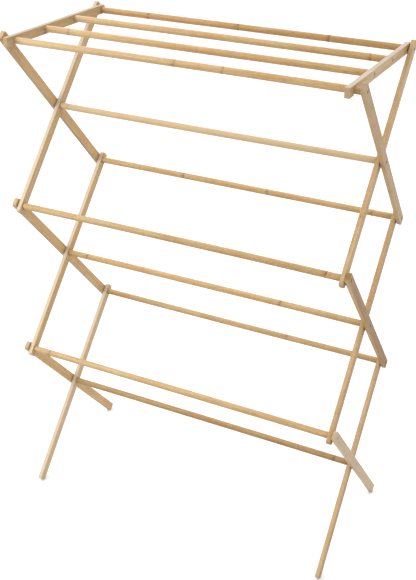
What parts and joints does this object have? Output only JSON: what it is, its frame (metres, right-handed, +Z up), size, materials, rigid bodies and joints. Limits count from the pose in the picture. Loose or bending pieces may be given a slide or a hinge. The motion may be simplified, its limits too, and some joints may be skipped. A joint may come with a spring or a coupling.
{
  "type": "clothes drying rack",
  "caption": "Free-standing folding clothes drying rack: stacked scissor sides of flat wooden slats, joined by hanging dowels, under a hinged dowel shelf.",
  "frame": {"origin": "on the floor, under the middle of the open rack's outer box", "axes": "+X is the rack's width, to the right seen from the front; -Y is the front, where the shelf hooks down; +Z is up"},
  "size_m": [0.7382, 0.356, 1.0805],
  "materials": {
    "bamboo_slat": "sanded bamboo under a thin satin lacquer",
    "bamboo_rail": "sanded bamboo under a thin satin lacquer",
    "bamboo_dowel": "turned bamboo under a thin satin lacquer, with darker growth rings",
    "nail_steel": "dull steel"
  },
  "bodies": {
    "lower_inner": {"lower_inner_slat_left": "bamboo_slat", "lower_inner_slat_right": "bamboo_slat"},
    "mid_outer": {"mid_outer_slat_left": "bamboo_slat", "mid_outer_slat_right": "bamboo_slat", "rod_front_mid": "bamboo_dowel", "rod_mid_centre": "bamboo_dowel", "rod_back_low": "bamboo_dowel", "nails_mid_outer": "nail_steel"},
    "mid_inner": {"mid_inner_slat_left": "bamboo_slat", "mid_inner_slat_right": "bamboo_slat"},
    "upper_outer": {"upper_outer_slat_left": "bamboo_slat", "upper_outer_slat_right": "bamboo_slat", "rod_top_front": "bamboo_dowel", "rod_upper_centre": "bamboo_dowel", "rod_back_mid": "bamboo_dowel", "nails_upper_outer": "nail_steel"},
    "upper_inner": {"upper_inner_slat_left": "bamboo_slat", "upper_inner_slat_right": "bamboo_slat", "rod_top_back": "bamboo_dowel", "nails_upper_inner": "nail_steel"},
    "lower_outer": {"lower_outer_slat_left": "bamboo_slat", "lower_outer_slat_right": "bamboo_slat", "rod_front_low": "bamboo_dowel", "rod_lower_centre": "bamboo_dowel", "nails_lower_outer": "nail_steel"},
    "shelf": {"shelf_rail_left": "bamboo_rail", "shelf_rail_right": "bamboo_rail", "rod_shelf_front": "bamboo_dowel", "rod_shelf_back": "bamboo_dowel", "nails_shelf": "nail_steel"}
  },
  "joints": [
    {"name": "fold", "type": "hinge", "parent": "lower_inner", "child": "mid_outer", "pos_m": [0, 0.1606, 0.36544], "axis": [-1, 0, 0], "range_deg": [0, 77.7]},
    {"name": "mid_crossing", "type": "hinge", "parent": "mid_outer", "child": "mid_inner", "pos_m": [0, 0.0053, 0.53993], "axis": [-1, 0, 0], "range_deg": [-77.8, 0]},
    {"name": "upper_link", "type": "hinge", "parent": "mid_inner", "child": "upper_outer", "pos_m": [0, 0.1606, 0.71443], "axis": [-1, 0, 0], "range_deg": [0, 77.8]},
    {"name": "upper_crossing", "type": "hinge", "parent": "upper_outer", "child": "upper_inner", "pos_m": [0, 0.0053, 0.88893], "axis": [-1, 0, 0], "range_deg": [-77.8, 0]},
    {"name": "lower_crossing", "type": "hinge", "parent": "lower_inner", "child": "lower_outer", "pos_m": [0, 0.0053, 0.19094], "axis": [-1, 0, 0], "range_deg": [0, 77.8]},
    {"name": "shelf_hinge", "type": "hinge", "parent": "upper_inner", "child": "shelf", "pos_m": [0, 0.1606, 1.06342], "axis": [-1, 0, 0], "range_deg": [0, 307.2]}
  ],
  "couplings": [
    {"joint": "mid_crossing", "follows": "fold", "ratio": -1},
    {"joint": "upper_link", "follows": "fold", "ratio": 1},
    {"joint": "upper_crossing", "follows": "fold", "ratio": -1},
    {"joint": "lower_crossing", "follows": "fold", "ratio": 1},
    {"joint": "shelf_hinge", "follows": "fold", "ratio": 3.95}
  ]
}
